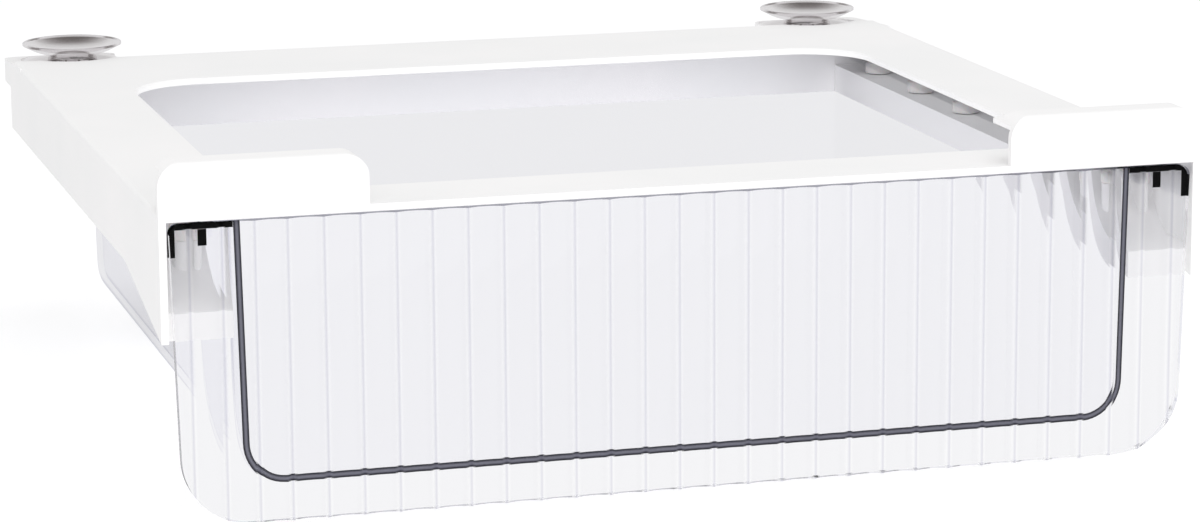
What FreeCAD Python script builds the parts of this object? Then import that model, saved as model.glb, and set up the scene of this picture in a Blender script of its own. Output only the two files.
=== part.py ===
"""Fridge drawer organizer: a moulded frame that hooks and sticks under a shelf, with a clear fluted drawer.

X runs across, +Y runs from the front face to the back, +Z is up. The origin is the middle of the top
plate's front edge, on the plate's top face. Every length is in millimetres.
"""
import FreeCAD, Part
import math
import os

V = FreeCAD.Vector
UP = V(0, 0, 1)

# How far a cutting form passes beyond the face that it opens.
cut_over = 1.0

# ---- frame: top plate -------------------------------------------------------------------------
frame_width = 320.0
plate_thickness = 2.1
plate_depth = 293.5
plate_edge_round = 1.4
side_strip_width = 30.4
side_strip_front_width = 34.6
side_strip_step_y = 84.0
front_strip_width = 28.8
back_strip_width = 55.5
window_edge_bevel = 0.6
window_back_radius = 24.0
window_front_radius = 6.0
window_step_radius = 1.5

# ---- frame: shelf hooks -----------------------------------------------------------------------
hook_width = 61.5
hook_wall = 2.4
hook_gap = 12.2
hook_reach = 12.0
hook_bend_radius = 3.4
hook_corner_radius = 6.5

# ---- frame: ears behind the plate, which carry the suction cups --------------------------------
ear_width = 39.0
ear_reach = 27.5
ear_rim_height = 7.8
ear_wall = 2.2
ear_corner_radius = 5.0
ear_slope_lead = 12.5
ear_drop = 2.5
cup_from_side = 22.6
cup_from_back = 15.0
pad_radius = 18.2

# ---- side rails -------------------------------------------------------------------------------
skirt_thickness = 2.2
skirt_bottom = -24.9
skirt_toe_bottom = -37.5
skirt_ramp_length = 62.0
skirt_short = 18.0
fin_gap = 0.5
tongue_thickness = 1.0
tongue_height = 0.9
tongue_clearance = 0.1
rail_wall = 2.0
ledge_width = 19.2
ledge_top = -13.2
ledge_toe_top = -29.4
ledge_ramp_end_y = 56.0
rail_bottom = -23.0
rail_ramp_end_y = 72.0

# ---- back bar between the rails ---------------------------------------------------------------
bar_inset = 16.5
bar_thickness = 2.2
bar_fit = 0.1

# ---- guide rollers and their pins -------------------------------------------------------------
roller_radius = 4.6
roller_height = 4.2
roller_front_y = 31.5
roller_pitch = 44.5
roller_from_bar = 23.0
back_roller_count = 3
roller_lift = 0.2
roller_bore_clearance = 0.06
roller_gap = 0.3
pin_radius = 1.6
pin_head_radius = 2.5
pin_head_height = 1.3
pin_play = 0.15
pin_tail = 0.8
tower_radius = 3.6

# ---- drawer tray ------------------------------------------------------------------------------
tray_side_gap = 0.5
tray_draft = 1.7
tray_bottom = -81.2
tray_wall = 2.1
tray_floor = 2.1
tray_corner_radius = 12.5
tray_back_radius = 9.0
tray_back_gap = 1.5
flange_top_gap = 1.1
flange_thickness = 1.7
flange_side_gap = 0.8
flange_corner_radius = 3.2
lip_thickness = 2.0
lip_gap = 0.3
guide_rib_thickness = 1.6
guide_rib_depth = 4.6
guide_rib_start_y = 14.0
stop_rib_thickness = 2.8
stop_rib_depth = 4.9
stop_rib_gap = 0.4

# ---- drawer front -----------------------------------------------------------------------------
panel_side_gap = 0.8
panel_top_gap = 0.9
panel_back_gap = 0.5
panel_bottom = -92.2
panel_draft = 2.6
panel_recess = 0.4
panel_thickness = 3.4
panel_top_radius = 3.0
panel_bottom_radius = 20.5
flute_pitch = 10.66
flute_radius = 11.5
end_flute_pitch = 9.6
end_flute_count = 3
flute_land = 5.6

# ---- suction cups -----------------------------------------------------------------------------
cup_rim_radius = 17.4
cup_rim_height = 6.7
cup_rim_width = 0.9
cup_skin = 1.1
cup_bowl_depth = 3.6
cup_base_radius = 8.6
cup_base_height = 1.6
cup_neck_radius = 6.8
cup_stem_radius = 3.0
cup_stem_clearance = 0.1
cup_bead_radius = 4.1
cup_bead_tip_radius = 2.9
cup_bead_height = 1.6

# ---- places worked out from the sizes above ---------------------------------------------------
half = frame_width / 2
plate_under = -plate_thickness
window_half_width = half - side_strip_width
window_front_half_width = half - side_strip_front_width
window_back_y = plate_depth - back_strip_width
bar_y = plate_depth - bar_inset
ear_back_y = plate_depth + ear_reach
ear_slope_start_y = plate_depth - ear_slope_lead
skirt_inner = half - skirt_thickness
skirt_back_y = ear_back_y - skirt_short
ledge_inner = skirt_inner - ledge_width
ledge_under = ledge_top - rail_wall
flange_top = plate_under - flange_top_gap
flange_under = flange_top - flange_thickness
flange_outer = skirt_inner - flange_side_gap
cup_x = half - cup_from_side
cup_y = ear_back_y - cup_from_back
pad_top = -ear_drop
pad_under = pad_top - plate_thickness
panel_top = plate_under - panel_top_gap
panel_half_width = skirt_inner - panel_side_gap
end_flutes_width = end_flute_pitch * end_flute_count
flute_field = 2 * (panel_half_width - flute_land - end_flutes_width)
flute_count = round(flute_field / flute_pitch)
flute_field_edge = flute_count * flute_pitch / 2
panel_back_y = panel_recess + panel_thickness
rail_front_y = panel_back_y + panel_back_gap
rail_back_y = bar_y + bar_thickness
tray_half_width = ledge_inner - tray_side_gap
tray_back_y = bar_y - tray_back_gap
flange_back_y = tray_back_y - tray_back_radius
roller_bottom = ledge_top + roller_lift
roller_top = roller_bottom + roller_height
guide_rib_outer = ledge_inner + rail_wall + guide_rib_thickness
roller_x = guide_rib_outer + roller_gap + roller_radius
back_roller_ys = [bar_y - roller_from_bar - roller_pitch * i for i in range(back_roller_count)]
roller_ys = [roller_front_y] + back_roller_ys[::-1]


def block(x0, x1, y0, y1, z0, z1):
    """A box between two opposite corners."""
    return Part.makeBox(x1 - x0, y1 - y0, z1 - z0, V(x0, y0, z0))


def post(x, y, z0, z1, radius):
    """An upright cylinder."""
    return Part.makeCylinder(radius, z1 - z0, V(x, y, z0), UP)


def side_profile(points, x0, x1):
    """A shape with a (y, z) outline, carried across from x0 to x1."""
    wire = Part.makePolygon([V(x0, y, z) for y, z in points + points[:1]])
    return Part.Face(wire).extrude(V(x1 - x0, 0, 0))


def front_profile(points, y0, y1):
    """A shape with an (x, z) outline, carried back from y0 to y1."""
    wire = Part.makePolygon([V(x, y0, z) for x, z in points + points[:1]])
    return Part.Face(wire).extrude(V(0, y1 - y0, 0))


def rounded(shape, radius, picks):
    """Fillets the edges that picks(edge) chooses."""
    return shape.makeFillet(radius, [edge for edge in shape.Edges if picks(edge)])


def runs_along(edge, axis):
    """True for a straight edge that lies along one axis, 0 for X, 1 for Y and 2 for Z."""
    if not isinstance(edge.Curve, (Part.Line, Part.LineSegment)):
        return False
    way = edge.Vertexes[-1].Point - edge.Vertexes[0].Point
    return abs(abs(way[axis]) - way.Length) < 1e-6


def near(a, b):
    """True where two lengths agree to a hundredth."""
    return abs(a - b) < 0.01


def mirrored(shape):
    """The same piece on the other side."""
    return shape.mirror(V(0, 0, 0), V(1, 0, 0))


def both(*shapes):
    """Shapes and their mirror images, as one list."""
    return [*shapes, *map(mirrored, shapes)]


def upright_at(y):
    """Picks the upright edges that stand at one distance back."""
    return lambda edge: runs_along(edge, 2) and near(edge.CenterOfMass.y, y)


def window():
    """The cut through the top plate: wide and round-cornered at the back, a little narrower at the front."""
    low = plate_under - cut_over
    wide = block(-window_half_width, window_half_width, side_strip_step_y, window_back_y, low, cut_over)
    wide = rounded(wide, window_back_radius, upright_at(window_back_y))
    wide = rounded(wide, window_step_radius, upright_at(side_strip_step_y))
    slim = block(-window_front_half_width, window_front_half_width, front_strip_width,
                 side_strip_step_y + window_step_radius, low, cut_over)
    slim = rounded(slim, window_front_radius, upright_at(front_strip_width))
    return wide.fuse(slim)


def is_window_rim(edge):
    """Picks the edges of the window that lie in the plate's top face."""
    box = edge.BoundBox
    on_top = near(box.ZMin, 0) and near(box.ZMax, 0)
    inside_x = max(abs(box.XMin), abs(box.XMax)) < window_half_width + plate_edge_round
    return on_top and inside_x and box.YMin > front_strip_width / 2 and box.YMax < window_back_y + cut_over


def hook():
    """The right shelf hook: an upright wall whose top bends back over the shelf."""
    top = hook_gap + hook_wall
    inner = half - hook_width
    wall = block(inner, half, 0, hook_wall, plate_under, top)
    lip = block(inner, half, 0, hook_reach, hook_gap, top)
    body = wall.fuse(lip).removeSplitter()

    def across_at(y, z):
        return lambda e: runs_along(e, 0) and near(e.CenterOfMass.y, y) and near(e.CenterOfMass.z, z)

    body = rounded(body, hook_bend_radius, across_at(0, top))
    body = rounded(body, hook_bend_radius - hook_wall, across_at(hook_wall, hook_gap))
    # From the front the two top corners are round, all the way through the lip.
    face = block(inner, half, -cut_over, hook_reach + cut_over, plate_under - cut_over, top)
    face = rounded(face, hook_corner_radius, lambda e: runs_along(e, 1) and near(e.CenterOfMass.z, top))
    return body.common(face)


def ear():
    """The right ear: a pad that slopes down behind the plate, with a rim that hangs from its edge."""
    inner = half - ear_width
    rim = pad_top - ear_rim_height
    outline = block(inner, half, bar_y, ear_back_y, rim, 0)
    outline = rounded(outline, ear_corner_radius, upright_at(ear_back_y))
    inside_back = ear_back_y - ear_wall
    hollow = block(inner + ear_wall, half - ear_wall, bar_y - cut_over, inside_back,
                   rim - cut_over, pad_under)
    hollow = rounded(hollow, ear_corner_radius - ear_wall, upright_at(inside_back))
    # Over the rail the ear is only as thick as the plate, and its rim hangs behind the rail.
    over_rail = block(inner - cut_over, half + cut_over, bar_y - cut_over, skirt_back_y,
                      rim - cut_over, plate_under)
    above = side_profile([(ear_slope_start_y, 0), (ear_back_y, -ear_drop), (ear_back_y, cut_over),
                          (ear_slope_start_y, cut_over)], inner - cut_over, half + cut_over)
    return outline.cut([hollow, over_rail, above])


def pad_floor():
    """The floor under the right cup, between the ear's rim and the side rail."""
    disc = post(cup_x, cup_y, pad_under, pad_top, pad_radius + ear_wall)
    keep = block(half - ear_width, skirt_inner - tongue_clearance, 0, ear_back_y - ear_wall / 2, pad_under, 0)
    return disc.common(keep)


def top_frame():
    """Top plate, two shelf hooks, two ears and the back bar, moulded as one."""
    plate = block(-half, half, 0, plate_depth, plate_under, 0)
    plate = rounded(plate, plate_edge_round, lambda e: runs_along(e, 1) and near(e.CenterOfMass.z, 0))
    plate = plate.cut(window())
    plate = plate.makeChamfer(window_edge_bevel, [edge for edge in plate.Edges if is_window_rim(edge)])
    bar_reach = ledge_inner - bar_fit
    bar = block(-bar_reach, bar_reach, bar_y, rail_back_y, rail_bottom, plate_under)
    body = plate.fuse(both(ear(), hook(), pad_floor()) + [bar])
    recess = post(cup_x, cup_y, pad_top, cut_over, pad_radius)
    stem_hole = post(cup_x, cup_y, pad_under - cut_over, cut_over, cup_stem_radius + cup_stem_clearance)
    groove = block(skirt_inner - tongue_clearance, skirt_inner + tongue_thickness + tongue_clearance,
                   rail_front_y - tongue_clearance, bar_y, plate_under - cut_over,
                   plate_under + tongue_height + tongue_clearance)
    return body.cut(both(recess, stem_hole, groove)).removeSplitter()


def rail_channel():
    """The right ledge with its inner wall and closed toe, open underneath and against the skirt."""
    outside = side_profile([(rail_front_y, ledge_toe_top), (rail_front_y, skirt_toe_bottom),
                            (rail_ramp_end_y, rail_bottom), (rail_back_y, rail_bottom),
                            (rail_back_y, ledge_top), (ledge_ramp_end_y, ledge_top)],
                           ledge_inner, skirt_inner)
    slope = (ledge_top - ledge_toe_top) / (ledge_ramp_end_y - rail_front_y)
    toe_y = rail_front_y + rail_wall
    toe_z = ledge_toe_top + slope * rail_wall - rail_wall
    inside_back = rail_back_y - rail_wall
    low = skirt_toe_bottom - cut_over
    hollow = side_profile([(toe_y, toe_z), (toe_y, low), (inside_back, low), (inside_back, ledge_under),
                           (ledge_ramp_end_y, ledge_under)], ledge_inner + rail_wall, skirt_inner)
    # The front roller stands on a tower, because the ledge slopes away below it.
    tower = post(roller_x, roller_front_y, ledge_toe_top, ledge_top, tower_radius)
    under_ramp = side_profile([(toe_y, toe_z), (toe_y, low), (ledge_ramp_end_y, low),
                               (ledge_ramp_end_y, ledge_under)], ledge_inner, skirt_inner)
    return outside.cut(hollow).fuse(tower.cut(under_ramp))


def side_rail():
    """The right side rail: outer skirt with its tongue, roller ledge, back wall and fin."""
    skirt = side_profile([(0, plate_under), (0, skirt_toe_bottom), (skirt_ramp_length, skirt_bottom),
                          (skirt_back_y, skirt_bottom), (skirt_back_y, plate_under)], skirt_inner, half)
    tongue = block(skirt_inner, skirt_inner + tongue_thickness, rail_front_y, bar_y - tongue_clearance,
                   plate_under, plate_under + tongue_height)
    end_wall = block(ledge_inner, skirt_inner, rail_back_y - rail_wall, rail_back_y, ledge_top, plate_under)
    # The fin starts beside the bead of the suction cup's stem.
    fin = block(cup_x + cup_bead_radius + fin_gap, skirt_inner, skirt_back_y - skirt_thickness,
                skirt_back_y, skirt_bottom, pad_under)
    bores = [post(roller_x, y, ledge_under - pin_tail, roller_top, pin_radius) for y in roller_ys]
    return skirt.fuse([tongue, rail_channel(), end_wall, fin]).cut(bores).removeSplitter()


def roller(y):
    """One right guide roller, bored for its pin."""
    bore_radius = pin_radius + roller_bore_clearance
    bore = post(roller_x, y, roller_bottom - cut_over, roller_top + cut_over, bore_radius)
    return post(roller_x, y, roller_bottom, roller_top, roller_radius).cut(bore)


def roller_pin(y):
    """One headed pin, pressed into the rail through its roller."""
    head_bottom = roller_top + pin_play
    shank = post(roller_x, y, ledge_under - pin_tail, head_bottom, pin_radius)
    head = post(roller_x, y, head_bottom, head_bottom + pin_head_height, pin_head_radius)
    return shank.fuse(head)


def tub(inset, floor_z, front_y, back_y, corner, back_corner):
    """A tub form: sides that draw in towards the floor, round floor corners and a round back."""
    top_x = tray_half_width - inset
    low_x = top_x - tray_draft
    form = front_profile([(-top_x, flange_top), (-low_x, floor_z), (low_x, floor_z), (top_x, flange_top)],
                         front_y, back_y)
    form = rounded(form, corner, lambda e: near(e.CenterOfMass.z, floor_z) and runs_along(e, 1))
    return rounded(form, back_corner,
                   lambda e: near(e.BoundBox.YMin, back_y) and not near(e.CenterOfMass.z, flange_top))


def tray_side():
    """What stands out from the right of the tub: flange, outer lip, guide rib and closing stop."""
    flange = block(tray_half_width - tray_wall / 2, flange_outer, panel_back_y, flange_back_y,
                   flange_under, flange_top)
    lip = block(flange_outer - lip_thickness, flange_outer, panel_back_y, flange_back_y,
                ledge_top + lip_gap, flange_top)
    side = flange.fuse(lip).removeSplitter()
    side = rounded(side, flange_corner_radius,
                   lambda e: runs_along(e, 1) and near(e.CenterOfMass.x, flange_outer)
                   and near(e.CenterOfMass.z, flange_top))
    guide = block(guide_rib_outer - guide_rib_thickness, guide_rib_outer, guide_rib_start_y,
                  flange_back_y, flange_under - guide_rib_depth, flange_under)
    stop = block(roller_x - stop_rib_thickness / 2, roller_x + stop_rib_thickness / 2, panel_back_y,
                 roller_front_y - roller_radius - stop_rib_gap, flange_under - stop_rib_depth, flange_under)
    return side.fuse([guide, stop])


def drawer_tray():
    """Clear tub with side flanges, open at the front, where the drawer front is bonded on."""
    outer = tub(0, tray_bottom, panel_back_y, tray_back_y, tray_corner_radius, tray_back_radius)
    inner = tub(tray_wall, tray_bottom + tray_floor, panel_back_y - cut_over, tray_back_y - tray_wall,
                tray_corner_radius - tray_wall, tray_back_radius - tray_wall)
    return outer.fuse(both(tray_side())).cut(inner).removeSplitter()


def flute(x, pitch):
    """The cutting form of one upright concave flute, whose two edges lie in the panel's front face."""
    axis_y = panel_recess - math.sqrt(flute_radius ** 2 - (pitch / 2) ** 2)
    return post(x, axis_y, panel_bottom - cut_over, panel_top + cut_over, flute_radius)


def drawer_front():
    """Clear front panel with upright concave flutes, round corners and sides that draw in downwards."""
    low_half = panel_half_width - panel_draft
    panel = front_profile([(-panel_half_width, panel_top), (-low_half, panel_bottom),
                           (low_half, panel_bottom), (panel_half_width, panel_top)],
                          panel_recess, panel_back_y)

    def corner_at(z):
        return lambda e: runs_along(e, 1) and near(e.CenterOfMass.z, z)

    panel = rounded(panel, panel_top_radius, corner_at(panel_top))
    panel = rounded(panel, panel_bottom_radius, corner_at(panel_bottom))
    flutes = [flute((i + 0.5) * flute_pitch - flute_field_edge, flute_pitch) for i in range(flute_count)]
    # The last few flutes at each end are a little narrower.
    for i in range(end_flute_count):
        flutes += both(flute(flute_field_edge + (i + 0.5) * end_flute_pitch, end_flute_pitch))
    return panel.cut(flutes)


def suction_cup():
    """The right suction cup: a soft bowl on a neck, with a beaded stem that snaps through the pad."""
    rim_top = pad_top + cup_rim_height
    rim_under = rim_top - cup_rim_width
    bowl_z = rim_top - cup_bowl_depth
    neck_z = pad_top + cup_base_height
    bead_top = pad_under - cup_stem_clearance
    mouth = cup_rim_radius - cup_rim_width
    # The bowl is round in section: it falls to three quarters of its depth by half its radius.
    half_mouth = mouth / 2
    half_depth = bowl_z + cup_bowl_depth / 4
    outline = [(0, bowl_z), (half_mouth, half_depth), (mouth, rim_top), (cup_rim_radius, rim_top),
               (cup_rim_radius, rim_under), (half_mouth + cup_skin, half_depth - cup_skin),
               (cup_neck_radius, neck_z), (cup_base_radius, neck_z), (cup_base_radius, pad_top),
               (cup_stem_radius, pad_top), (cup_stem_radius, bead_top), (cup_bead_radius, bead_top),
               (cup_bead_tip_radius, bead_top - cup_bead_height), (0, bead_top - cup_bead_height)]
    wire = Part.makePolygon([V(cup_x + r, cup_y, z) for r, z in outline + outline[:1]])
    return Part.Face(wire).revolve(V(cup_x, cup_y, 0), UP, 360)


def save(node, shape):
    """Writes one named piece."""
    shape.exportStep("parts/" + node + ".step")


def save_pair(name, shape):
    """Writes the right piece and its mirror image on the left."""
    save("right_" + name, shape)
    save("left_" + name, mirrored(shape))


os.makedirs("parts", exist_ok=True)
save("top_frame", top_frame())
save("drawer_tray", drawer_tray())
save("drawer_front", drawer_front())
save_pair("side_rail", side_rail())
save_pair("suction_cup", suction_cup())
for number, roller_y in enumerate(roller_ys, 1):
    save_pair("guide_roller_" + str(number), roller(roller_y))
    save_pair("roller_pin_" + str(number), roller_pin(roller_y))
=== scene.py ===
import math

import bmesh
import bpy
import numpy as np
from mathutils import Matrix, Vector


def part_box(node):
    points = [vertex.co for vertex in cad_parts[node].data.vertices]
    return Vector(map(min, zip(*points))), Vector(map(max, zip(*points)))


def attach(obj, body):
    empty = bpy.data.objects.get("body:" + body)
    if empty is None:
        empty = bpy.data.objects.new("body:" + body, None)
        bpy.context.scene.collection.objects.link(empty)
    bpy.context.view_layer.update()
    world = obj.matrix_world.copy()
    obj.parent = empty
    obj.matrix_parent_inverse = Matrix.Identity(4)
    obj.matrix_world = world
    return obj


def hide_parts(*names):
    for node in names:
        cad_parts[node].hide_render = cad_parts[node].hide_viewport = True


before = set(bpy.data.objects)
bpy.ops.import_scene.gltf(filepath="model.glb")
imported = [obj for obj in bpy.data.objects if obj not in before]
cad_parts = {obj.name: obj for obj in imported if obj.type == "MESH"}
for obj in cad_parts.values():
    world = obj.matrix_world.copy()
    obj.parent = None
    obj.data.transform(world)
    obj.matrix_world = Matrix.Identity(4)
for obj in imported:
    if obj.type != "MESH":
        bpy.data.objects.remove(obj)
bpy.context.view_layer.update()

MM = 0.001


def box_mm(node):
    """A CAD node's lowest and highest corners in millimetres, to a thousandth."""
    low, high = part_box(node)
    return np.round(np.array(low) / MM, 3), np.round(np.array(high) / MM, 3)


panel_low, panel_high = box_mm("drawer_front")
tray_low, tray_high = box_mm("drawer_tray")

# ---- camera -------------------------------------------------------------------------------------
camera_place = Vector((-0.35157, -1.13608, 0.22510))
camera_turn = math.radians(15.93)
camera_tilt = math.radians(-11.79)
camera_roll = math.radians(-0.32)
camera_lens_mm = 123.55
camera_sensor_mm = 36.0
camera_shift = (-0.00712, 0.00078)
camera_reach = 50.0

# ---- floor, in millimetres ----------------------------------------------------------------------
floor_half_mm = 30000.0
floor_gap_mm = 0.2

# ---- drawer tray, in millimetres ----------------------------------------------------------------
# The tray's front ends are let into the panel's back by the bond's depth. Its flanges and ribs are
# pieces of their own in the scene, and stand a bond's gap off what carries them.
bond_gap_mm = 0.05
bond_depth_mm = 0.15
tray_front_mm = panel_high[1] - bond_depth_mm
tray_back_mm = tray_high[1]
tray_top_mm = tray_high[2]
tray_bottom_mm = tray_low[2]
tray_half_mm = 138.1
tray_draft_mm = 1.7
tray_wall_mm = 2.1
tray_corner_mm = 12.5
tray_corner_points = 13
tray_back_round_mm = 9.0
tray_back_rows = 9
flange_back_mm = 266.5
flange_under_mm = -4.9
flange_outer_mm = tray_high[0]
flange_corner_mm = 3.2
flange_corner_points = 7
lip_mm = 2.0
lip_bottom_mm = -12.9
rib_top_mm = flange_under_mm - bond_gap_mm
guide_inner_mm = 140.6
guide_outer_mm = 142.2
guide_front_mm = 14.0
guide_bottom_mm = -9.5
stop_x_mm = 147.1
stop_half_mm = 1.4
stop_back_mm = 26.5
stop_bottom_mm = -9.8

# ---- drawer front, in millimetres ---------------------------------------------------------------
# Its top is as wide as the flanges behind it, before its corners are rounded.
panel_half_mm = flange_outer_mm
panel_top_mm = panel_high[2]
panel_bottom_mm = panel_low[2]
panel_draft_mm = 2.6
panel_recess_mm = panel_low[1]
panel_back_mm = panel_high[1]
panel_top_radius_mm = 3.0
panel_bottom_radius_mm = 20.5
panel_rows = 12
panel_corner_columns = 16
panel_side_columns = 9
panel_column_decimals = 4
flute_count = 23
flute_pitch_mm = 10.66
end_flute_count = 3
end_flute_pitch_mm = 9.6
flute_radius_mm = 11.5
flute_steps = 14
ridge_reach_mm = 1.2

# ---- rollers, in millimetres --------------------------------------------------------------------
roller_round_mm = 0.6
roller_round_points = 5
roller_bore_mm = 1.66
roller_steps = 64

# ---- suction cups, in millimetres ---------------------------------------------------------------
cup_rim_mm = 0.9
cup_rim_bevel_mm = 0.15
cup_rim_under_in_mm = 0.2
cup_rim_under_rise_mm = 0.1
cup_skin_mm = 1.1
cup_bowl_depth_mm = 3.6
cup_bowl_points = 15
cup_under_points = 12
cup_under_start_mm = 1.2
cup_height_mm = 6.7
cup_neck_mm = 6.8
cup_neck_flare_mm = 0.6
cup_neck_step_mm = 0.1
cup_base_mm = 1.6
cup_base_r_mm = 8.6
cup_base_bevel_mm = 0.4
cup_stem_mm = 3.0
cup_bead_mm = 4.1
cup_bead_height_mm = 1.6
cup_bead_taper_mm = 1.2
cup_steps = 72

# ---- meshes: welding in metres, and the angle in degrees past which an edge stays sharp ------------
weld_reach = 2e-6
shortest_edge = 1e-6
turned_sharp_angle = 40
panel_sharp_angle = 40
tray_sharp_angle = 35


def linear(hex_colour):
    """The linear RGBA of an sRGB hex colour."""
    channels = [int(hex_colour[i:i + 2], 16) / 255 for i in (0, 2, 4)]
    curve = [c / 12.92 if c <= 0.04045 else ((c + 0.055) / 1.055) ** 2.4 for c in channels]
    return (*curve, 1.0)


def scale_of(size_mm):
    """The scale at which a noise pattern has this size."""
    return 1 / (size_mm * MM)


def add_node(tree, kind, settings=None, **sockets):
    """Adds a node, sets its properties, and sets or links each named socket (_ stands for a space)."""
    node = tree.nodes.new(kind)
    for name, value in (settings or {}).items():
        setattr(node, name, value)
    for name, value in sockets.items():
        key = int(name[1:]) if name[1:].isdigit() else name.replace("_", " ")
        if isinstance(value, bpy.types.NodeSocket):
            tree.links.new(value, node.inputs[key])
        else:
            node.inputs[key].default_value = value
    return node


def set_stops(ramp, *stops):
    """Sets a new colour ramp from (position, hex colour) pairs, given from its low end to its high end."""
    elements = ramp.color_ramp.elements
    for element, (position, colour) in zip(elements, (stops[0], stops[-1])):
        element.position = position
        element.color = linear(colour)
    for position, colour in stops[1:-1]:
        elements.new(position).color = linear(colour)


def new_material(name):
    """An empty node material with its output node."""
    material = bpy.data.materials.new(name)
    material.use_nodes = True
    material.node_tree.nodes.clear()
    output = add_node(material.node_tree, "ShaderNodeOutputMaterial")
    return material, material.node_tree, output


def abs_satin_white():
    """White ABS, injection moulded in a finely sparked tool."""
    # Nearly even in colour, with a soft satin sheen and a grain that is only felt in the highlights.
    material, tree, output = new_material("abs_satin_white")
    place = add_node(tree, "ShaderNodeTexCoord").outputs["Object"]
    # The melt's slow drift in tone is some 55 mm across.
    flow = add_node(tree, "ShaderNodeTexNoise", Vector=place, Scale=scale_of(55), Detail=2.0)
    tone = add_node(tree, "ShaderNodeValToRGB", Fac=flow.outputs["Fac"])
    set_stops(tone, (0.3, "F4F4F4"), (0.7, "F8F7F7"))
    # The spark grain is 0.06 mm in truth; it is drawn at 0.5 mm so that it shows at all.
    grain = add_node(tree, "ShaderNodeTexNoise", Vector=place, Scale=scale_of(0.5), Detail=2.0)
    bump = add_node(tree, "ShaderNodeBump", Height=grain.outputs["Fac"], Strength=0.12, Distance=0.04 * MM)
    gloss = add_node(tree, "ShaderNodeMapRange", Value=grain.outputs["Fac"], To_Min=0.34, To_Max=0.42)
    # The sheen is a thin coat on a body with no gloss of its own, so the white is alike from every side.
    shader = add_node(tree, "ShaderNodeBsdfPrincipled", Base_Color=tone.outputs["Color"],
                      Roughness=gloss.outputs["Result"], Normal=bump.outputs["Normal"], IOR=1.54,
                      Specular_IOR_Level=0.0, Coat_Weight=0.15, Coat_Roughness=0.3)
    tree.links.new(shader.outputs["BSDF"], output.inputs["Surface"])
    return material


def acetal_white():
    """White acetal, moulded smooth: the rollers and their pins."""
    # Waxy and dull, with a slight cloudiness where light gets in.
    material, tree, output = new_material("acetal_white")
    place = add_node(tree, "ShaderNodeTexCoord").outputs["Object"]
    cloud = add_node(tree, "ShaderNodeTexNoise", Vector=place, Scale=scale_of(4), Detail=3.0)
    tone = add_node(tree, "ShaderNodeValToRGB", Fac=cloud.outputs["Fac"])
    set_stops(tone, (0, "EDEAE8"), (1, "F4F2F0"))
    bump = add_node(tree, "ShaderNodeBump", Height=cloud.outputs["Fac"], Strength=0.1, Distance=0.05 * MM)
    shader = add_node(tree, "ShaderNodeBsdfPrincipled", Base_Color=tone.outputs["Color"],
                      Roughness=0.5, Normal=bump.outputs["Normal"], IOR=1.48,
                      Subsurface_Weight=0.15, Subsurface_Scale=1.0 * MM)
    tree.links.new(shader.outputs["BSDF"], output.inputs["Surface"])
    return material


def polished_styrene():
    """Clear styrene, moulded in a polished tool: the fluted front, which bends the light."""
    # Each flute is a lens. "ridge" is 1 on the sharp ridges between flutes: there a grey is painted in, as
    # painted shade for the dark line that the ridge's bending of light shows, and the front is seen
    # straight through there.
    ridge_shade_tint = linear("E6E6EC")
    material, tree, output = new_material("styrene_clear_polished")
    place = add_node(tree, "ShaderNodeTexCoord").outputs["Object"]
    ripple = add_node(tree, "ShaderNodeTexNoise", Vector=place, Scale=scale_of(9), Detail=1.0)
    bump = add_node(tree, "ShaderNodeBump", Height=ripple.outputs["Fac"], Strength=1.0,
                    Distance=0.004 * MM)
    ridge = add_node(tree, "ShaderNodeAttribute", {"attribute_name": "ridge"})
    ridge_shade_mask = add_node(tree, "ShaderNodeMapRange", Value=ridge.outputs["Fac"], From_Min=0.4)
    tone = add_node(tree, "ShaderNodeMixRGB", Fac=ridge_shade_mask.outputs["Result"], Color1=linear("FAFAFC"),
                    Color2=ridge_shade_tint)
    shader = add_node(tree, "ShaderNodeBsdfPrincipled", Base_Color=tone.outputs["Color"], Roughness=0.02,
                      IOR=1.57, Transmission_Weight=1.0, Normal=bump.outputs["Normal"])
    passed = add_node(tree, "ShaderNodeMixRGB", Fac=ridge_shade_mask.outputs["Result"], Color1=linear("FFFFFF"),
                      Color2=ridge_shade_tint)
    through = add_node(tree, "ShaderNodeBsdfTransparent", Color=passed.outputs["Color"])
    # What lies behind the front is lit straight through it, and near a ridge the front is seen straight
    # through.
    path = add_node(tree, "ShaderNodeLightPath")
    passes = add_node(tree, "ShaderNodeMath", {"operation": "MAXIMUM"}, _0=path.outputs["Is Shadow Ray"],
                      _1=path.outputs["Is Diffuse Ray"])
    near_ridge = add_node(tree, "ShaderNodeMapRange", Value=ridge.outputs["Fac"], From_Max=0.6)
    passes = add_node(tree, "ShaderNodeMath", {"operation": "MAXIMUM"}, _0=passes.outputs["Value"],
                      _1=near_ridge.outputs["Result"])
    # Light that has met four surfaces to and fro inside the wall is let out, so no edge turns black.
    caught = add_node(tree, "ShaderNodeMath", {"operation": "GREATER_THAN"}, _0=path.outputs["Ray Depth"],
                      _1=3.5)
    passes = add_node(tree, "ShaderNodeMath", {"operation": "MAXIMUM"}, _0=passes.outputs["Value"],
                      _1=caught.outputs["Value"])
    mix = add_node(tree, "ShaderNodeMixShader", Fac=passes.outputs["Value"],
                   _1=shader.outputs["BSDF"], _2=through.outputs["BSDF"])
    tree.links.new(mix.outputs["Shader"], output.inputs["Surface"])
    return material


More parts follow.
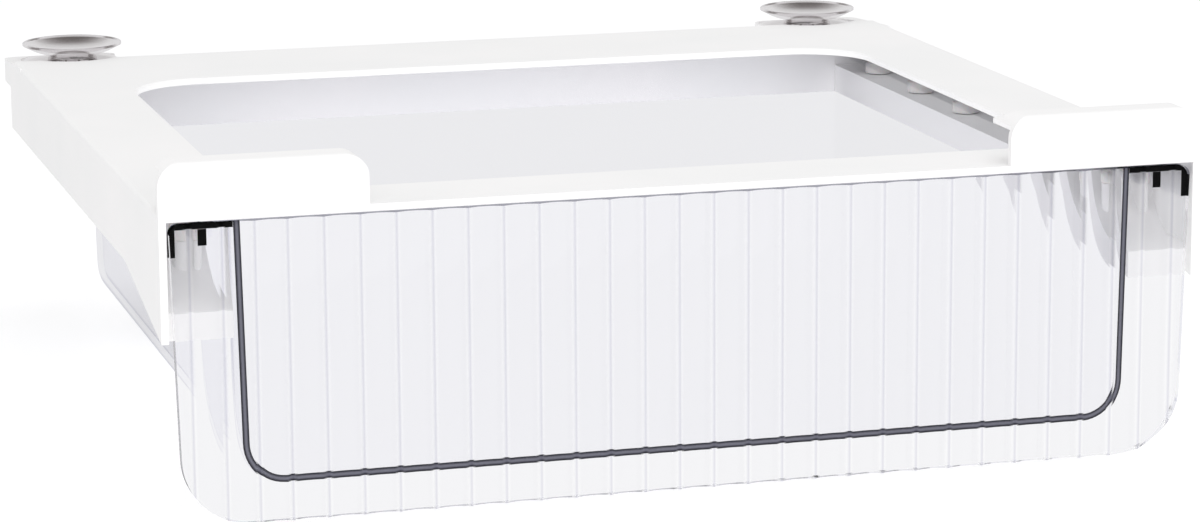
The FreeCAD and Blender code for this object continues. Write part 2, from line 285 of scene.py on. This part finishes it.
def thin_styrene(name, face_tint, edge_tint):
    """Clear styrene moulded thin: its faces are parallel, so what lies behind it is seen undistorted."""
    # A clean wall under a weak sheen. Its tint turns greyer where it is seen edge-on: partly the longer
    # path through the wall, partly painted shade.
    material, tree, output = new_material(name)
    place = add_node(tree, "ShaderNodeTexCoord").outputs["Object"]
    ripple = add_node(tree, "ShaderNodeTexNoise", Vector=place, Scale=scale_of(8), Detail=1.0)
    bump = add_node(tree, "ShaderNodeBump", Height=ripple.outputs["Fac"], Strength=1.0,
                    Distance=0.004 * MM)
    slant = add_node(tree, "ShaderNodeLayerWeight", Blend=0.5)
    tone = add_node(tree, "ShaderNodeValToRGB", Fac=slant.outputs["Facing"])
    set_stops(tone, (0, face_tint), (0.93, face_tint), (1, edge_tint))
    through = add_node(tree, "ShaderNodeBsdfTransparent", Color=tone.outputs["Color"])
    sheen = add_node(tree, "ShaderNodeBsdfGlossy", Roughness=0.08, Normal=bump.outputs["Normal"])
    facing = add_node(tree, "ShaderNodeLayerWeight", Blend=0.3, Normal=bump.outputs["Normal"])
    share = add_node(tree, "ShaderNodeMath", {"operation": "MULTIPLY"}, _0=facing.outputs["Fresnel"],
                     _1=0.02)
    mix = add_node(tree, "ShaderNodeMixShader", Fac=share.outputs["Value"], _1=through.outputs["BSDF"],
                   _2=sheen.outputs["BSDF"])
    tree.links.new(mix.outputs["Shader"], output.inputs["Surface"])
    return material


def soft_pvc():
    """Soft clear PVC of the suction cups, moulded smooth."""
    # A grey band painted by the angle at which the wall is seen makes the wall behind the bowl darker:
    # painted shade. The bowl's floor and its near side stay pale.
    material, tree, output = new_material("pvc_clear_soft")
    place = add_node(tree, "ShaderNodeTexCoord").outputs["Object"]
    flow = add_node(tree, "ShaderNodeTexNoise", Vector=place, Scale=scale_of(6), Detail=2.0)
    bump = add_node(tree, "ShaderNodeBump", Height=flow.outputs["Fac"], Strength=1.0, Distance=0.03 * MM)
    slant = add_node(tree, "ShaderNodeLayerWeight", Blend=0.5, Normal=bump.outputs["Normal"])
    tone = add_node(tree, "ShaderNodeValToRGB", Fac=slant.outputs["Facing"])
    set_stops(tone, (0, "F6F5F6"), (0.22, "F2F0F1"), (0.29, "A8A4A3"), (0.42, "A8A4A3"),
              (0.52, "DCDADA"), (0.62, "F6F5F5"), (1, "FAF9FA"))
    through = add_node(tree, "ShaderNodeBsdfTransparent", Color=tone.outputs["Color"])
    gloss = add_node(tree, "ShaderNodeBsdfGlossy", Color=linear("F4F4F4"), Roughness=0.15,
                     Normal=bump.outputs["Normal"])
    facing = add_node(tree, "ShaderNodeLayerWeight", Blend=0.4, Normal=bump.outputs["Normal"])
    share = add_node(tree, "ShaderNodeMath", {"operation": "MULTIPLY"}, _0=facing.outputs["Fresnel"],
                     _1=0.1)
    mix = add_node(tree, "ShaderNodeMixShader", Fac=share.outputs["Value"], _1=through.outputs["BSDF"],
                   _2=gloss.outputs["BSDF"])
    tree.links.new(mix.outputs["Shader"], output.inputs["Surface"])
    return material


def styrene_wall_end():
    """The cut-off end of a clear moulded wall, painted dark: painted shade for the light that enters it,
    runs on in the wall and is lost.
    """
    # Painted dark along both faces of the wall and slate grey between them, and painted solid black where
    # no light enters.
    # "across" holds the place across the wall, from 0 to 1, and then how black the end is.
    material, tree, output = new_material("clear_wall_end")
    across = add_node(tree, "ShaderNodeUVMap", {"uv_map": "across"})
    split = add_node(tree, "ShaderNodeSeparateXYZ", Vector=across.outputs["UV"])
    tone = add_node(tree, "ShaderNodeValToRGB", Fac=split.outputs["X"])
    set_stops(tone, (0, "26262C"), (0.22, "42424A"), (0.4, "74747F"), (0.6, "787883"),
              (0.78, "484850"), (1, "26262C"))
    shade = add_node(tree, "ShaderNodeMixRGB", Fac=split.outputs["Y"], Color1=tone.outputs["Color"],
                     Color2=linear("050506"))
    shader = add_node(tree, "ShaderNodeBsdfPrincipled", Base_Color=shade.outputs["Color"], Roughness=0.6,
                      Specular_IOR_Level=0.1)
    tree.links.new(shader.outputs["BSDF"], output.inputs["Surface"])
    return material


def mirrored_once(tree, path):
    """1 for a ray that was mirrored and has met nothing else, so that deeper reflections stay bright."""
    first = add_node(tree, "ShaderNodeMath", {"operation": "LESS_THAN"}, _0=path.outputs["Ray Depth"],
                     _1=1.5)
    once = add_node(tree, "ShaderNodeMath", {"operation": "MULTIPLY"}, _0=path.outputs["Is Glossy Ray"],
                    _1=first.outputs["Value"])
    return once.outputs["Value"]


def floor_paint():
    """Matt white floor that the eye sees as plain white, with the object's soft shadow kept."""
    material, tree, output = new_material("floor_paint")
    paint = add_node(tree, "ShaderNodeBsdfDiffuse", Color=linear("D4D4D5"))
    path = add_node(tree, "ShaderNodeLightPath")
    strength = add_node(tree, "ShaderNodeMapRange", Value=path.outputs["Is Camera Ray"], To_Min=0.4,
                        To_Max=0.44)
    lift = add_node(tree, "ShaderNodeEmission", Color=linear("FFFFFF"), Strength=strength.outputs["Result"])
    lifted = add_node(tree, "ShaderNodeAddShader", _0=paint.outputs["BSDF"], _1=lift.outputs["Emission"])
    # Seen through the thin clear tray it is painted darker than beside it: painted shade for the shade
    # inside the drawer.
    tray_shade_painted = add_node(tree, "ShaderNodeMapRange", Value=path.outputs["Transparent Depth"], To_Max=0.175)
    black = add_node(tree, "ShaderNodeEmission", Color=linear("000000"), Strength=0.0)
    floor_with_tray_shade = add_node(tree, "ShaderNodeMixShader", Fac=tray_shade_painted.outputs["Result"], _1=lifted.outputs["Shader"],
                      _2=black.outputs["Emission"])
    # Seen through the clear front the floor is a light table, so the drawer stays bright all over.
    table = add_node(tree, "ShaderNodeEmission", Color=linear("FFFFFF"), Strength=1.0)
    # Mirrored in the clear front it is dim, so the dark edges behind the front stay dark.
    dim = add_node(tree, "ShaderNodeEmission", Color=linear("FFFFFF"), Strength=0.05)
    mirrored = add_node(tree, "ShaderNodeMixShader", Fac=mirrored_once(tree, path),
                        _1=floor_with_tray_shade.outputs["Shader"], _2=dim.outputs["Emission"])
    seen = add_node(tree, "ShaderNodeMixShader", Fac=path.outputs["Is Transmission Ray"],
                    _1=mirrored.outputs["Shader"], _2=table.outputs["Emission"])
    tree.links.new(seen.outputs["Shader"], output.inputs["Surface"])
    return material


def add_mesh(name, points, faces, materials, finish=None):
    """A mesh object at the origin, from points in millimetres; finish is each face's material number."""
    mesh = bpy.data.meshes.new(name)
    mesh.from_pydata((np.asarray(points) * MM).tolist(), [], faces)
    for material in materials:
        mesh.materials.append(material)
    if finish is not None:
        mesh.polygons.foreach_set("material_index", np.asarray(finish, dtype=np.int32))
    mesh.update()
    piece = bpy.data.objects.new(name, mesh)
    bpy.context.scene.collection.objects.link(piece)
    return piece


def close_mesh(mesh, sharp_angle):
    """Merges double points, turns all faces outwards and smooths all but the sharp edges."""
    work = bmesh.new()
    work.from_mesh(mesh)
    bmesh.ops.remove_doubles(work, verts=work.verts, dist=weld_reach)
    bmesh.ops.dissolve_degenerate(work, edges=work.edges, dist=shortest_edge)
    bmesh.ops.recalc_face_normals(work, faces=work.faces)
    work.to_mesh(mesh)
    work.free()
    mesh.shade_smooth()
    mesh.set_sharp_from_angle(angle=math.radians(sharp_angle))


def quads(numbers, flip=False):
    """Quads between neighbouring rows and columns of a grid of point numbers."""
    numbers = np.asarray(numbers)
    corners = [numbers[:-1, :-1], numbers[:-1, 1:], numbers[1:, 1:], numbers[1:, :-1]]
    faces = np.stack(corners, axis=-1).reshape(-1, 4)
    if flip:
        faces = faces[:, ::-1]
    return faces.tolist()


def panel_arcs():
    """How far the drawer front's sides lean in per height, and its top and bottom corner arcs' centres.

    A corner arc's centre (x, z) lies one radius from both lines that it joins.
    """
    lean = panel_draft_mm / (panel_top_mm - panel_bottom_mm)

    def centre(z, radius):
        return panel_half_mm - lean * (panel_top_mm - z) - radius * math.hypot(1, lean), z

    top = centre(panel_top_mm - panel_top_radius_mm, panel_top_radius_mm)
    bottom = centre(panel_bottom_mm + panel_bottom_radius_mm, panel_bottom_radius_mm)
    return lean, top, bottom


def panel_limits(x):
    """Lowest and highest z of the drawer front at x.

    The outline is a straight top, two sides that lean in by the draft towards the bottom, and a straight
    bottom, joined by tangent arcs.
    """
    x = np.abs(x)
    lean, (top_x, top_z), (low_x, low_z) = panel_arcs()
    reach = np.clip(x - top_x, 0, panel_top_radius_mm)
    high = top_z + np.sqrt(panel_top_radius_mm ** 2 - reach ** 2)
    reach = np.clip(x - low_x, 0, panel_bottom_radius_mm)
    arc = low_z - np.sqrt(panel_bottom_radius_mm ** 2 - reach ** 2)
    side = panel_top_mm - (panel_half_mm - x) / lean
    on_arc = x < low_x + panel_bottom_radius_mm * math.cos(math.atan(lean))
    low = np.where(on_arc, arc, side)
    return np.minimum(low, high), high


def flute_face(x):
    """Depth of the fluted face at x: hollow arcs of one radius side by side, and flat past the last one.

    An arc's two edges lie in the panel's front face. The few flutes at each end are narrower than the rest.
    """
    field = flute_count * flute_pitch_mm / 2
    beyond = np.abs(x) - field
    middle = x - flute_pitch_mm * np.round(x / flute_pitch_mm)
    end = (beyond % end_flute_pitch_mm) - end_flute_pitch_mm / 2
    pitch = np.where(beyond < 0, flute_pitch_mm, end_flute_pitch_mm)
    across = np.where(beyond < 0, middle, end)
    rim = np.sqrt(flute_radius_mm ** 2 - (pitch / 2) ** 2)
    hollow = panel_recess_mm - rim + np.sqrt(flute_radius_mm ** 2 - across ** 2)
    return np.where(beyond < end_flute_count * end_flute_pitch_mm, hollow, panel_recess_mm)


def drawer_front(clear, edge_shade):
    """The fluted front, clear but for its top edge, which is painted dark grey as shade for the light held
    inside the panel.

    Columns of points run between the outline's limits, on the fluted face and on the flat back. They
    stand evenly across each flute and by even angles round the corners.
    """
    _, (top_x, _), (low_x, _) = panel_arcs()
    edge_x = top_x + panel_top_radius_mm
    field = flute_count * flute_pitch_mm / 2
    flutes_end = field + end_flute_count * end_flute_pitch_mm
    inner = np.linspace(-field, field, flute_count * flute_steps + 1)
    outer = np.linspace(field, flutes_end, end_flute_count * flute_steps + 1)
    turn = np.radians(np.linspace(0, 90, panel_corner_columns))
    ends = np.concatenate([top_x + panel_top_radius_mm * np.sin(turn),
                           low_x + panel_bottom_radius_mm * np.sin(turn),
                           np.linspace(panel_half_mm - panel_draft_mm, edge_x, panel_side_columns)])
    x = np.concatenate([inner, outer, -outer, ends, -ends])
    # Rounding makes columns that fall together equal, and each is kept once.
    x = np.unique(np.round(np.clip(x, -edge_x, edge_x), panel_column_decimals))
    low, high = panel_limits(x)
    z = high + (low - high) * np.linspace(0, 1, panel_rows)[:, None]
    across = np.broadcast_to(x, z.shape)
    front = np.stack([across, np.broadcast_to(flute_face(x), z.shape), z], axis=-1)
    back = np.stack([across, np.full(z.shape, panel_back_mm), z], axis=-1)
    points = np.concatenate([front.reshape(-1, 3), back.reshape(-1, 3)])
    number = np.arange(z.size).reshape(z.shape)
    behind = number + z.size
    walls = quads(number, flip=True) + quads(behind)
    top = quads([number[0], behind[0]])
    rest = quads([number[-1], behind[-1]], flip=True)
    rest += quads([number[:, 0], behind[:, 0]], flip=True)
    rest += quads([number[:, -1], behind[:, -1]])
    finish = np.repeat([0, 1, 0], [len(walls), len(top), len(rest)])
    piece = add_mesh("drawer_front_fluted", points, walls + top + rest, [clear, edge_shade], finish)
    # "ridge" masks where the front's material paints its grey line of shade, and where it is seen straight
    # through.
    ridges = np.concatenate([inner[::flute_steps], outer[::flute_steps], -outer[::flute_steps]])
    from_ridge = np.abs(x[:, None] - ridges).min(axis=1)
    on_ridge = np.broadcast_to(np.clip(1 - from_ridge / ridge_reach_mm, 0, 1), z.shape)
    on_ridge = np.concatenate([on_ridge.ravel(), np.zeros(z.size)])
    piece.data.attributes.new("ridge", "FLOAT", "POINT").data.foreach_set("value", on_ridge)
    close_mesh(piece.data, panel_sharp_angle)
    return piece


def tub_face(inset):
    """Points of one face of the tub, inset from its outside: rows from the front to the back wall.

    Each row is the tub's outline: down the left wall, round a corner, along the floor and up the right
    wall. Round the back edge the outline draws in by radius * (1 - cos a) while it moves back by
    radius * sin a.
    """
    floor = tray_bottom_mm + inset
    back_round = tray_back_round_mm - inset
    lean = tray_draft_mm / (tray_top_mm - floor)
    a = np.radians(np.linspace(0, 90, tray_back_rows))
    draw_in = np.concatenate([[0], back_round * (1 - np.cos(a))])[:, None]
    y = np.concatenate([[tray_front_mm], tray_back_mm - inset - back_round + back_round * np.sin(a)])
    radius = tray_corner_mm - inset - draw_in
    low = floor + draw_in
    side_x = tray_half_mm - inset - draw_in
    corner_x = side_x - lean * (tray_top_mm - low - radius)
    turn = np.radians(np.linspace(0, 90, tray_corner_points))
    x = np.hstack([side_x, corner_x - radius + radius * np.cos(turn)])
    z = np.hstack([np.full(side_x.shape, tray_top_mm), low + radius - radius * np.sin(turn)])
    x = np.hstack([-x, x[:, ::-1]])
    z = np.hstack([z, z[:, ::-1]])
    return np.stack([x, np.broadcast_to(y[:, None], x.shape), z], axis=-1)


def map_across(mesh, across, black):
    """The UV that a wall's end reads: each point's place across the wall, and how black the end is."""
    corner = np.empty(len(mesh.loops), dtype=np.int32)
    mesh.loops.foreach_get("vertex_index", corner)
    uv = np.stack([across[corner], np.full(len(corner), black)], axis=-1)
    mesh.uv_layers.new(name="across").data.foreach_set("uv", uv.ravel())


def drawer_tub(clear, ends):
    """The clear tub: an outer and an inner face, a rim that joins them and a dark cut end in front."""
    outer = tub_face(0)
    inner = tub_face(tray_wall_mm)
    rows, columns = outer.shape[:2]
    count = rows * columns
    points = np.concatenate([outer.reshape(-1, 3), inner.reshape(-1, 3)])
    number = np.arange(count).reshape(rows, columns)
    left = number[-1, :columns // 2]
    right = number[-1, ::-1][:columns // 2]
    rim = np.concatenate([number[:, 0], number[::-1, -1]])
    walls = quads(number) + quads(number + count, flip=True)
    walls += quads([left, right]) + quads([left + count, right + count], flip=True)
    walls += quads([rim, rim + count])
    end = quads([number[0], number[0] + count])
    finish = np.repeat([0, 1], [len(walls), len(end)])
    piece = add_mesh("drawer_tub", points, walls + end, [clear, ends], finish)
    map_across(piece.data, np.repeat([0.0, 1.0], count), 0.0)
    close_mesh(piece.data, tray_sharp_angle)
    return piece


def carried(name, outline, y0, y1, clear, ends):
    """A closed (x, z) outline carried back from y0 to y1; its front end is the last face."""
    count = len(outline)
    front = np.stack([outline[:, 0], np.full(count, y0), outline[:, 1]], axis=-1)
    back = front + [0, y1 - y0, 0]
    loop = np.append(np.arange(count), 0)
    sides = quads([loop, loop + count])
    back_end = list(range(count, 2 * count))
    front_end = list(range(count))
    finish = np.repeat([0, 1], [len(sides) + 1, 1])
    piece = add_mesh(name, np.concatenate([front, back]), [*sides, back_end, front_end], [clear, ends],
                     finish)
    map_across(piece.data, np.full(2 * count, 0.5), 1.0)
    close_mesh(piece.data, tray_sharp_angle)
    return piece


def rib_outline(x0, x1, bottom):
    """The upright (x, z) rectangle of a rib under the flange."""
    return np.array([[x0, rib_top_mm], [x1, rib_top_mm], [x1, bottom], [x0, bottom]])


def drawer_sides(clear, ends):
    """Flange and lip of each side as one carried outline, the guide rib, and the stop behind the front."""
    turn = np.radians(np.linspace(90, 0, flange_corner_points))
    corner = np.stack([flange_outer_mm - flange_corner_mm + flange_corner_mm * np.cos(turn),
                       tray_top_mm - flange_corner_mm + flange_corner_mm * np.sin(turn)], axis=-1)
    root = tray_half_mm + bond_gap_mm
    lip_inner = flange_outer_mm - lip_mm
    flange = np.concatenate([
        [[root, tray_top_mm]], corner, [[flange_outer_mm, lip_bottom_mm], [lip_inner, lip_bottom_mm],
                                        [lip_inner, flange_under_mm], [root, flange_under_mm]]])
    guide = rib_outline(guide_inner_mm, guide_outer_mm, guide_bottom_mm)
    stop = rib_outline(stop_x_mm - stop_half_mm, stop_x_mm + stop_half_mm, stop_bottom_mm)
    pieces = []
    for side, sign in (("right", 1), ("left", -1)):
        mirror = np.array([sign, 1])
        pieces.append(carried(side + "_drawer_flange", flange * mirror, tray_front_mm, flange_back_mm,
                              clear, ends))
        pieces.append(carried(side + "_drawer_stop", stop * mirror, tray_front_mm, stop_back_mm,
                              clear, ends))
        pieces.append(carried(side + "_drawer_guide", guide * mirror, guide_front_mm, flange_back_mm,
                              clear, clear))
    return pieces


def turned(name, outline, centre, material, steps):
    """An (r, z) outline turned about an upright axis; it starts and ends on the axis, or closes itself."""
    turn = np.linspace(0, 2 * math.pi, steps, endpoint=False)
    r, z = outline[:, :1], outline[:, 1:]
    x = centre[0] + r * np.cos(turn)
    y = centre[1] + r * np.sin(turn)
    points = np.stack([x, y, np.broadcast_to(z, x.shape)], axis=-1)
    number = np.arange(x.size).reshape(x.shape)
    faces = quads(np.hstack([number, number[:, :1]]))
    piece = add_mesh(name, points.reshape(-1, 3), faces, [material])
    close_mesh(piece.data, turned_sharp_angle)
    return piece


def suction_cup(side, material):
    """A clear cup: a bowl that rises with the cube of the radius, on a neck, a base and a beaded stem."""
    low, high = box_mm(side + "_suction_cup")
    rim_r = (high[0] - low[0]) / 2
    rim_z, tip_z = high[2], low[2]
    rim_under = rim_z - cup_rim_mm
    mouth_r = rim_r - cup_rim_mm
    pad_z = rim_z - cup_height_mm
    neck_z = pad_z + cup_base_mm
    bead_z = tip_z + cup_bead_height_mm

    def bowl(r):
        return rim_z - cup_bowl_depth_mm * (1 - (r / mouth_r) ** 3)

    r = np.linspace(0, mouth_r, cup_bowl_points)
    inside = np.stack([r, bowl(r)], axis=-1)
    edge = [[mouth_r + cup_rim_bevel_mm, rim_z], [rim_r - cup_rim_bevel_mm, rim_z],
            [rim_r, rim_z - cup_rim_bevel_mm], [rim_r, rim_under + cup_rim_under_rise_mm],
            [rim_r - cup_rim_under_in_mm, rim_under]]
    r = np.linspace(mouth_r - cup_under_start_mm, cup_neck_mm + cup_neck_flare_mm, cup_under_points)
    under = np.stack([r, bowl(r) - cup_skin_mm], axis=-1)
    foot = [[cup_neck_mm, neck_z + cup_neck_step_mm], [cup_base_r_mm - cup_base_bevel_mm, neck_z],
            [cup_base_r_mm, neck_z - cup_base_bevel_mm], [cup_base_r_mm, pad_z], [cup_stem_mm, pad_z],
            [cup_stem_mm, bead_z], [cup_bead_mm, bead_z], [cup_bead_mm - cup_bead_taper_mm, tip_z],
            [0, tip_z]]
    outline = np.concatenate([inside, edge, under, foot])
    centre = (low[:2] + high[:2]) / 2
    piece = turned(side + "_suction_cup_bowl", outline, centre, material, cup_steps)
    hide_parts(side + "_suction_cup")
    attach(piece, "frame")


def roller(node, body, material):
    """A guide roller with rounded edges: a ring whose bore the pin fills."""
    low, high = box_mm(node)
    round_r = (high[0] - low[0]) / 2 - roller_round_mm
    bottom, top = low[2], high[2]
    turn = np.radians(np.linspace(0, 90, roller_round_points))
    lower = np.stack([round_r + roller_round_mm * np.sin(turn),
                      bottom + roller_round_mm - roller_round_mm * np.cos(turn)], axis=-1)
    upper = np.stack([round_r + roller_round_mm * np.cos(turn),
                      top - roller_round_mm + roller_round_mm * np.sin(turn)], axis=-1)
    bore = [[roller_bore_mm, bottom]]
    outline = np.concatenate([bore, lower, upper, [[roller_bore_mm, top]], bore])
    centre = (low[:2] + high[:2]) / 2
    piece = turned(node + "_rounded", outline, centre, material, roller_steps)
    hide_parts(node)
    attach(piece, body)


def add_camera():
    """The camera: turned from +Y towards +X, tilted down and rolled a little."""
    forward = Vector((math.sin(camera_turn) * math.cos(camera_tilt),
                      math.cos(camera_turn) * math.cos(camera_tilt), math.sin(camera_tilt)))
    level = Vector((math.cos(camera_turn), -math.sin(camera_turn), 0))
    upright = level.cross(forward)
    right = level * math.cos(camera_roll) + upright * math.sin(camera_roll)
    up = upright * math.cos(camera_roll) - level * math.sin(camera_roll)
    data = bpy.data.cameras.new("camera")
    data.sensor_fit = "HORIZONTAL"
    data.sensor_width = camera_sensor_mm
    data.lens = camera_lens_mm
    data.shift_x, data.shift_y = camera_shift
    data.clip_end = camera_reach
    camera = bpy.data.objects.new("camera", data)
    bpy.context.scene.collection.objects.link(camera)
    rotation = Matrix((right, up, -forward)).transposed().to_4x4()
    camera.matrix_world = Matrix.Translation(camera_place) @ rotation
    bpy.context.scene.camera = camera


def add_softbox(name, place, target, size, watts):
    """A soft rectangular lamp that faces a target point and isn't seen itself; size is in metres."""
    data = bpy.data.lights.new(name, "AREA")
    data.shape = "RECTANGLE"
    data.size, data.size_y = size
    data.energy = watts
    lamp = bpy.data.objects.new(name, data)
    bpy.context.scene.collection.objects.link(lamp)
    lamp.location = place
    lamp.rotation_euler = (Vector(target) - Vector(place)).to_track_quat("-Z", "Y").to_euler()
    lamp.visible_camera = False
    lamp.visible_glossy = False
    lamp.visible_transmission = False


def light_scene():
    """White surroundings, softboxes in front, above and on the left, and weak fills in tray and rails."""
    world = bpy.data.worlds.new("studio")
    bpy.context.scene.world = world
    world.use_nodes = True
    tree = world.node_tree
    tree.nodes.clear()
    # The surroundings are plain white to the eye, weaker as light on the object and dim when mirrored.
    path = add_node(tree, "ShaderNodeLightPath")
    seen = add_node(tree, "ShaderNodeMath", {"operation": "MAXIMUM"}, _0=path.outputs["Is Camera Ray"],
                    _1=path.outputs["Is Transmission Ray"])
    lit = add_node(tree, "ShaderNodeMapRange", Value=mirrored_once(tree, path), To_Min=0.69, To_Max=0.12)
    strength = add_node(tree, "ShaderNodeMapRange", Value=seen.outputs["Value"],
                        To_Min=lit.outputs["Result"], To_Max=1.0)
    sky = add_node(tree, "ShaderNodeBackground", Color=linear("FFFFFF"),
                   Strength=strength.outputs["Result"])
    add_node(tree, "ShaderNodeOutputWorld", Surface=sky.outputs["Background"])
    add_softbox("front_softbox", place=(-0.5, -2.2, 0.5), target=(0, 0.05, -0.03), size=(2.4, 1.6),
                watts=21)
    add_softbox("top_softbox", place=(0.5, -0.2, 2.0), target=(0, 0.15, 0), size=(1.8, 1.8), watts=12)
    add_softbox("left_softbox", place=(-2.0, 0.3, 0.7), target=(0, 0.15, -0.03), size=(1.6, 1.2),
                watts=3)
    # The fills look up from the tray's floor and down on the rails' ledges. Their targets lie a touch off
    # plumb, which turns the second side of each lamp along Y.
    add_softbox("inner_fill", place=(0, 0.14, -0.07), target=(0, 0.1401, 0), size=(0.25, 0.24),
                watts=0.12)
    for side, x in (("left", -0.148), ("right", 0.148)):
        add_softbox(side + "_rail_fill", place=(x, 0.13, -0.0062), target=(x, 0.1301, -0.02),
                    size=(0.016, 0.25), watts=0.0056)


def add_floor(material):
    """A wide floor just under the drawer front's lower edge."""
    corners = np.array([[-1, -1, 0], [1, -1, 0], [1, 1, 0], [-1, 1, 0]]) * floor_half_mm
    level = [0, 0, panel_bottom_mm - floor_gap_mm]
    floor = add_mesh("floor", corners + level, [(0, 1, 2, 3)], [material])


def dress_node(node, material):
    """Gives a CAD piece its finish."""
    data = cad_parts[node].data
    data.materials.clear()
    data.materials.append(material)


add_camera()
light_scene()
add_floor(floor_paint())

white = abs_satin_white()
waxy = acetal_white()
clear = polished_styrene()
thin = thin_styrene("styrene_clear_thin", face_tint="FDFDFE", edge_tint="E8E8EE")
soft_clear = soft_pvc()
# The front's top edge is painted dark grey all over: painted shade for the light that the panel holds
# inside.
top_edge_shade = thin_styrene("styrene_clear_edge", face_tint="A8A8B0", edge_tint="A8A8B0")
wall_end = styrene_wall_end()

for node in sorted(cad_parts):
    if "roller" in node:
        dress_node(node, waxy)
    elif "cup" in node:
        dress_node(node, soft_clear)
    elif not node.startswith("drawer"):
        dress_node(node, white)
    if "guide_roller" in node:
        roller(node, node.replace("guide_", ""), waxy)

for side in ("left", "right"):
    suction_cup(side, soft_clear)

front = drawer_front(clear, top_edge_shade)
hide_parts("drawer_front")
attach(front, "drawer")

tub = drawer_tub(thin, wall_end)
sides = drawer_sides(thin, wall_end)
for piece in [tub, *sides]:
    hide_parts("drawer_tray")
    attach(piece, "drawer")

bpy.context.scene.view_settings.view_transform = "Standard"
